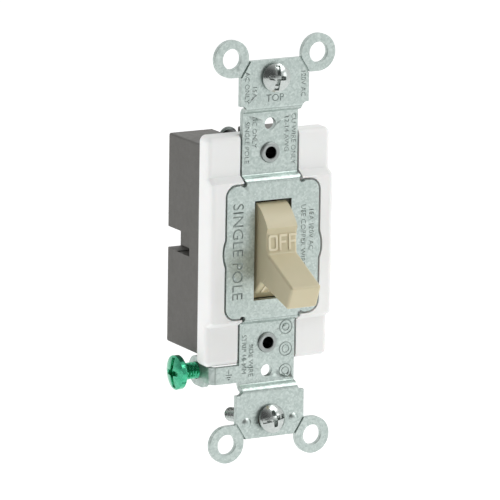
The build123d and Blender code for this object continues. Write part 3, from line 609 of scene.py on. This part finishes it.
def stamps():
    """Generic marks: wire size, rating and up, with plain rings and a ground sign on the tab."""
    neck = NECK_SETBACK
    marks = [
        lettering("AC ONLY", 1.25, -7.6, 39.7, 90),
        lettering("15A", 1.25, -5.6, 38.6, 90),
        lettering("120V AC", 1.25, 7.6, 39.7, 90),
        lettering("TOP", 1.8, 0, 36.7),
        lettering("SINGLE POLE", 1.25, -6.3, 26.0, 90, neck),
        lettering("AC ONLY", 1.25, -4.3, 28.4, 90, neck),
        lettering("12-14 AWG", 1.25, 4.4, 27.4, 90, neck),
        lettering("CU WIRE ONLY", 1.25, 6.3, 26.0, 90, neck),
        lettering("SINGLE POLE", 2.9, -9.6, 0.2, 90),
        lettering("USE COPPER WIRE ONLY", 1.3, 8.2, 0.0, 90),
        lettering("15A 120V AC", 1.3, 10.4, 4.0, 90),
        lettering("STRIP 15 MM", 1.25, -6.3, -25.6, 90, neck),
        lettering("SIDE WIRE", 1.25, -4.4, -27.2, 90, neck),
    ]
    for z in (-19.9, -25.3, -30.7):
        marks.append(ring_stamp(5.1, z, 1.8, 0.26, neck))
        marks.append(ring_stamp(5.1, z, 1.0, 0.2, neck))
    for k, width in enumerate((1.8, 1.15, 0.5)):
        marks.append(bar_stamp(-10.3, -30.3 - 0.55 * k, width, 0.22, neck))
    marks.append(bar_stamp(-10.3, -29.6, 0.22, 1.2, neck))
    return marks


def joined(meshes):
    """Several meshes as one."""
    whole = bmesh.new()
    for mesh in meshes:
        whole.from_mesh(mesh)
    bmesh.ops.remove_doubles(whole, verts=whole.verts, dist=0.0001 * MM)
    bmesh.ops.recalc_face_normals(whole, faces=whole.faces)
    result = bpy.data.meshes.new("joined")
    whole.to_mesh(result)
    whole.free()
    return result


def stamped_strap():
    """The strap with eased edges and its marks pressed in."""
    punch = placed("strap_punch", joined(stamps()))
    press = "BOOLEAN", {"operation": "DIFFERENCE", "object": punch, "solver": "EXACT", "use_self": True}
    mesh = shaded(modified(merged_copy("mounting_strap"), ease(0.12), press))
    bpy.data.objects.remove(punch)
    add_piece("stamped_strap", mesh, "frame", "galvanised_steel", "mounting_strap")


def eased_mouldings():
    """Cover, body, toggle and rivets with soft moulded edges."""
    pieces = (
        ("front_cover", "frame", 0.12),
        ("rear_housing", "frame", 0.12),
        ("toggle", "toggle", 0.07),
        ("strap_rivets", "frame", 0.05),
    )
    for node, body, width in pieces:
        mesh = shaded(modified(merged_copy(node), ease(width)))
        piece = add_piece(node + "_finished", mesh, body, SLOT_OF[node], node)
        if node == "strap_rivets":
            piece.data.materials[0] = RIVET_FINISH


# ---------------------------------------------------------------- room, light and camera

def floor():
    """A plain white floor well below the switch."""
    mesh = bpy.data.meshes.new("floor")
    size, level = 6.0, -0.22
    corners = [(-size, -size, level), (size, -size, level), (size, size, level), (-size, size, level)]
    mesh.from_pydata(corners, [], [(0, 1, 2, 3)])
    material = bpy.data.materials.new("floor_white")
    material.use_nodes = True
    shader = material.node_tree.nodes["Principled BSDF"]
    shader.inputs["Base Color"].default_value = (0.93, 0.93, 0.93, 1)
    shader.inputs["Roughness"].default_value = 0.9
    shader.inputs["Emission Color"].default_value = (1, 1, 1, 1)
    shader.inputs["Emission Strength"].default_value = 0.42
    mesh.materials.append(material)
    placed("floor", mesh)


def softbox(name, place, size, power):
    """A square area light aimed at the switch."""
    light = bpy.data.lights.new(name, "AREA")
    light.size = size
    light.energy = power
    lamp = placed(name, light)
    lamp.location = place
    lamp.rotation_euler = (-Vector(place)).to_track_quat("-Z", "Y").to_euler()
    return lamp


def lights():
    """A room that darkens to the left and towards the viewer, with soft boxes at the upper right
    and the front right, and a fill at the left that reaches the cover alone."""
    world = bpy.data.worlds.new("room")
    world.use_nodes = True
    tree = world.node_tree
    direction = tree.nodes.new("ShaderNodeTexCoord")
    across = tree.nodes.new("ShaderNodeVectorMath")
    across.operation = "DOT_PRODUCT"
    across.inputs[1].default_value = (0.75, 0.6, -0.1)
    fall = tree.nodes.new("ShaderNodeMapRange")
    for socket, value in (("From Min", -0.75), ("From Max", 0.2), ("To Min", 0.12), ("To Max", 1.0)):
        fall.inputs[socket].default_value = value
    tree.links.new(direction.outputs["Object"], across.inputs[0])
    tree.links.new(across.outputs["Value"], fall.inputs["Value"])
    tree.links.new(fall.outputs["Result"], tree.nodes["Background"].inputs["Strength"])
    tree.nodes["Background"].inputs["Color"].default_value = (1, 1, 1, 1)
    bpy.context.scene.world = world
    softbox("upper_right", (0.42, -0.36, 0.68), 0.5, 2.6)
    softbox("front_right", (0.9, -0.75, 0.25), 0.4, 0.8)
    fill = softbox("cover_fill", (-0.9, -0.05, 0.1), 0.5, 3.6)
    covers = bpy.data.collections.new("cover_fill_only")
    covers.objects.link(bpy.data.objects["front_cover_finished"])
    fill.light_linking.receiver_collection = covers


def camera():
    """A long lens to the left of the switch and a little above it."""
    azimuth, elevation, roll = radians(29.26), radians(12.486), radians(0.897)
    distance = 1.310
    view_height = 0.1191      # height of the view at the switch, in metres
    back = Vector((-sin(azimuth) * cos(elevation), -cos(azimuth) * cos(elevation), sin(elevation)))
    right = Vector((cos(azimuth), -sin(azimuth), 0))
    up = back.cross(right)
    turned_right = right * cos(roll) + up * sin(roll)
    turned_up = up * cos(roll) - right * sin(roll)
    data = bpy.data.cameras.new("camera")
    data.sensor_width = 36.0
    data.lens = data.sensor_width * distance / view_height
    data.shift_x = -0.0453
    data.shift_y = -0.0015
    eye = placed("camera", data)
    rotation = Matrix((turned_right, turned_up, back)).transposed().to_4x4()
    eye.matrix_world = Matrix.Translation(back * distance) @ rotation
    bpy.context.scene.camera = eye
    bpy.context.scene.view_settings.view_transform = "Standard"


dress_nodes()
stamped_strap()
eased_mouldings()
all_screws()
floor()
lights()
camera()
